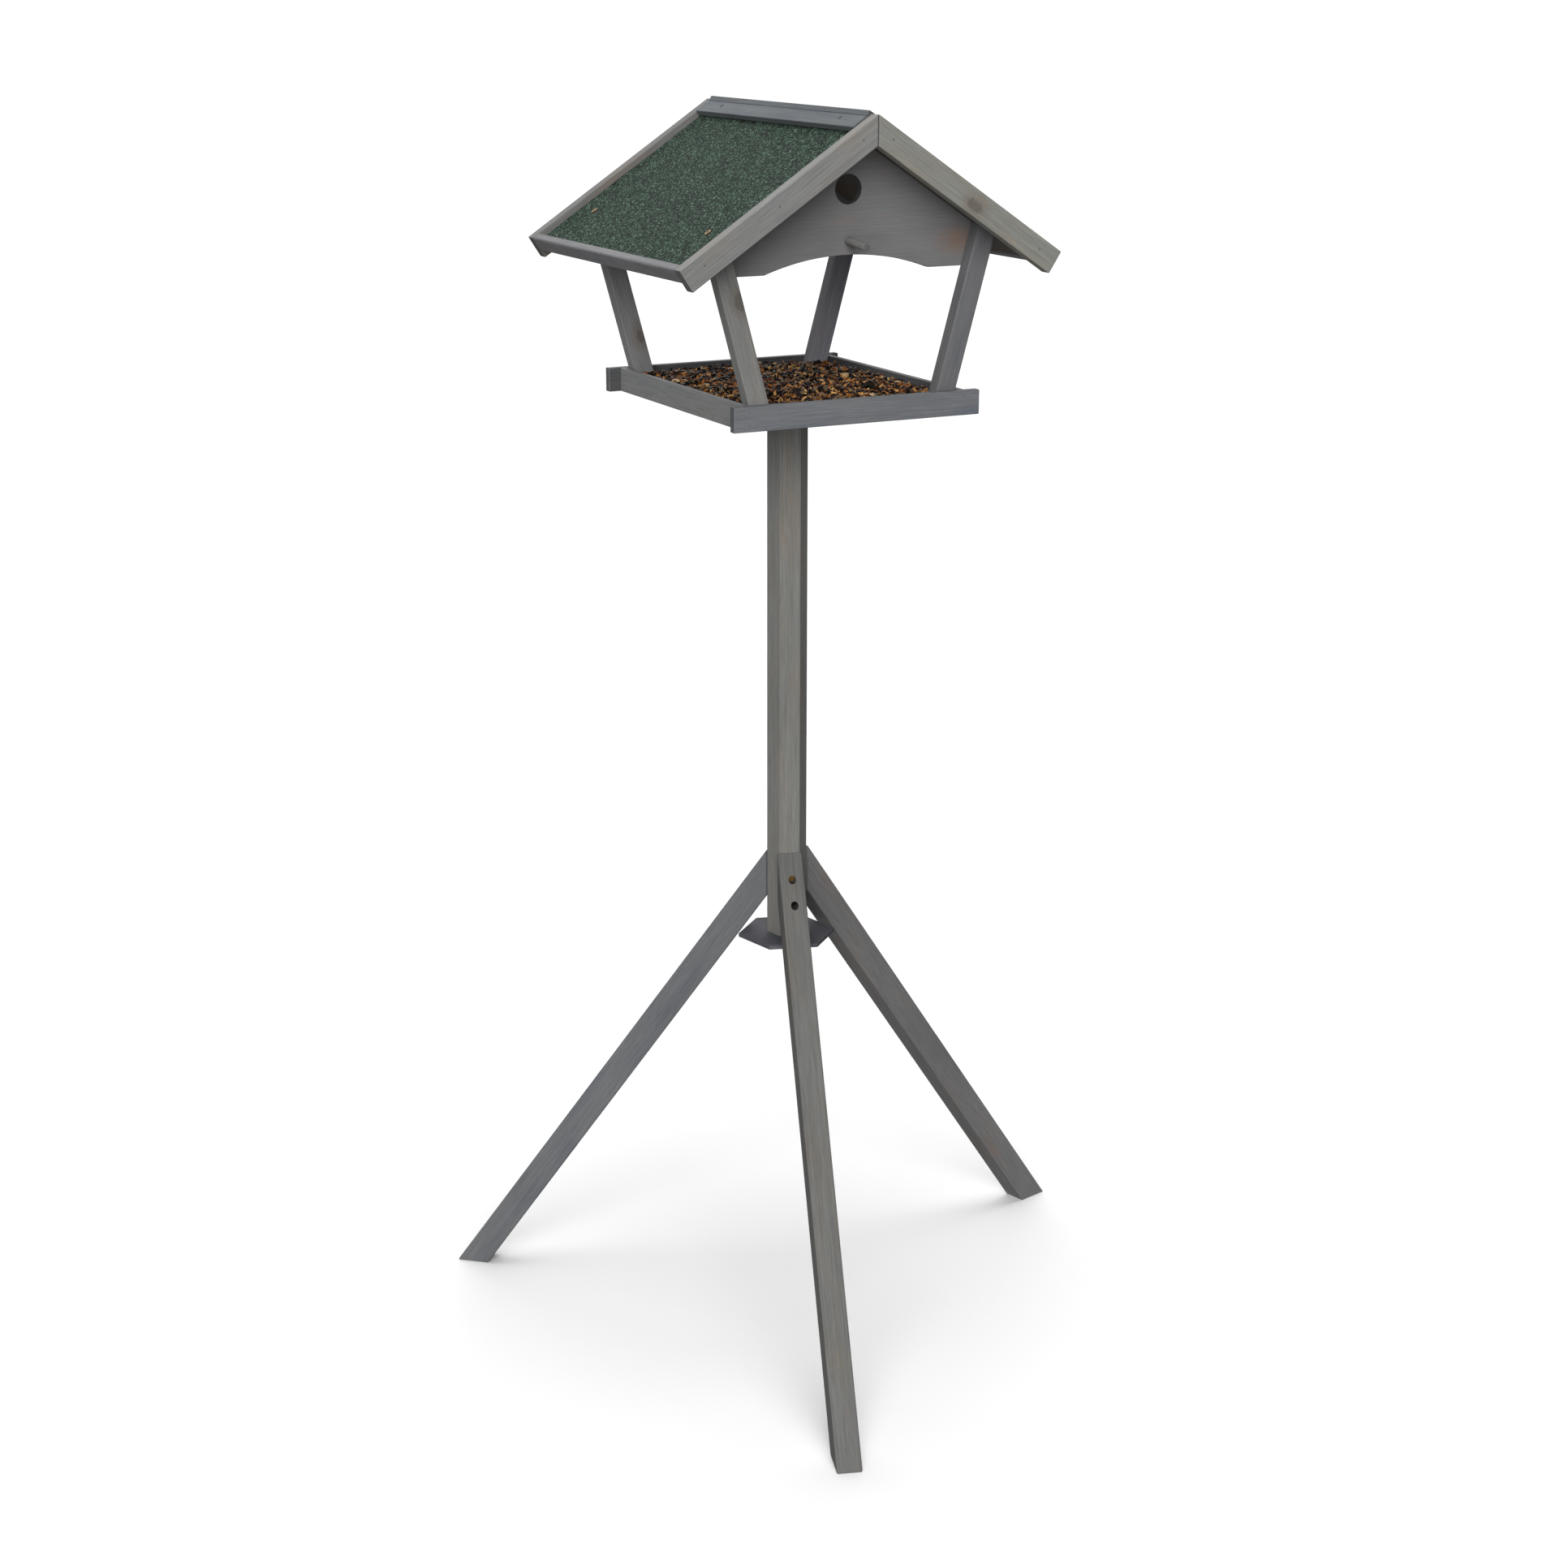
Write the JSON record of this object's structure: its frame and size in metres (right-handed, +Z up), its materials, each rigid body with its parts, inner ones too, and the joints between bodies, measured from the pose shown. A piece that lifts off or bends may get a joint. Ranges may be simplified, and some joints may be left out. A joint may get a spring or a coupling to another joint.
{
  "type": "bird feeder on pole",
  "caption": "Free-standing bird table: a gabled, felt-roofed feeding house over a seed tray, on a hexagonal pole with splayed legs.",
  "frame": {"origin": "on the ground, under the pole's axis", "axes": "+Z up along the pole, X across the gables, Y along the roof's ridge with the front gable facing -Y"},
  "size_m": [0.8042, 0.7276, 1.494],
  "materials": {
    "stained_softwood": "grey stained, matt, open grain",
    "stained_plywood": "grey stained plywood, matt",
    "roofing_felt": "green mineral granules, matt",
    "bird_seed": "loose mixed seed",
    "screw_brass": "yellow passivated, satin",
    "nail_steel": "galvanised, dull"
  },
  "bodies": {
    "root": {"barge_board_back_left": "stained_softwood", "barge_board_back_right": "stained_softwood", "barge_board_front_left": "stained_softwood", "barge_board_front_right": "stained_softwood", "barge_pins": "nail_steel", "eave_pins": "nail_steel", "eave_strip_left": "stained_softwood", "eave_strip_right": "stained_softwood", "felt_left": "roofing_felt", "felt_right": "roofing_felt", "gable_back": "stained_plywood", "gable_front": "stained_plywood", "gable_pins": "nail_steel", "head_plate": "stained_plywood", "head_plate_screws": "screw_brass", "leg_front": "stained_softwood", "leg_left": "stained_softwood", "leg_right": "stained_softwood", "leg_screws": "screw_brass", "perch_back": "stained_softwood", "perch_front": "stained_softwood", "pole": "stained_softwood", "post_back_left": "stained_softwood", "post_back_right": "stained_softwood", "post_front_left": "stained_softwood", "post_front_right": "stained_softwood", "post_screws": "screw_brass", "ridge_board_left": "stained_softwood", "ridge_board_right": "stained_softwood", "ridge_nails": "nail_steel", "roof_board_left": "stained_plywood", "roof_board_right": "stained_plywood", "roof_screws": "screw_brass", "seed_bed": "bird_seed", "spreader_plate": "stained_plywood", "spreader_screw": "screw_brass", "tray_board_back": "stained_softwood", "tray_board_front": "stained_softwood", "tray_board_left": "stained_softwood", "tray_board_right": "stained_softwood", "tray_floor": "stained_plywood", "tray_pins": "nail_steel", "tray_screws": "screw_brass"}
  },
  "joints": []
}
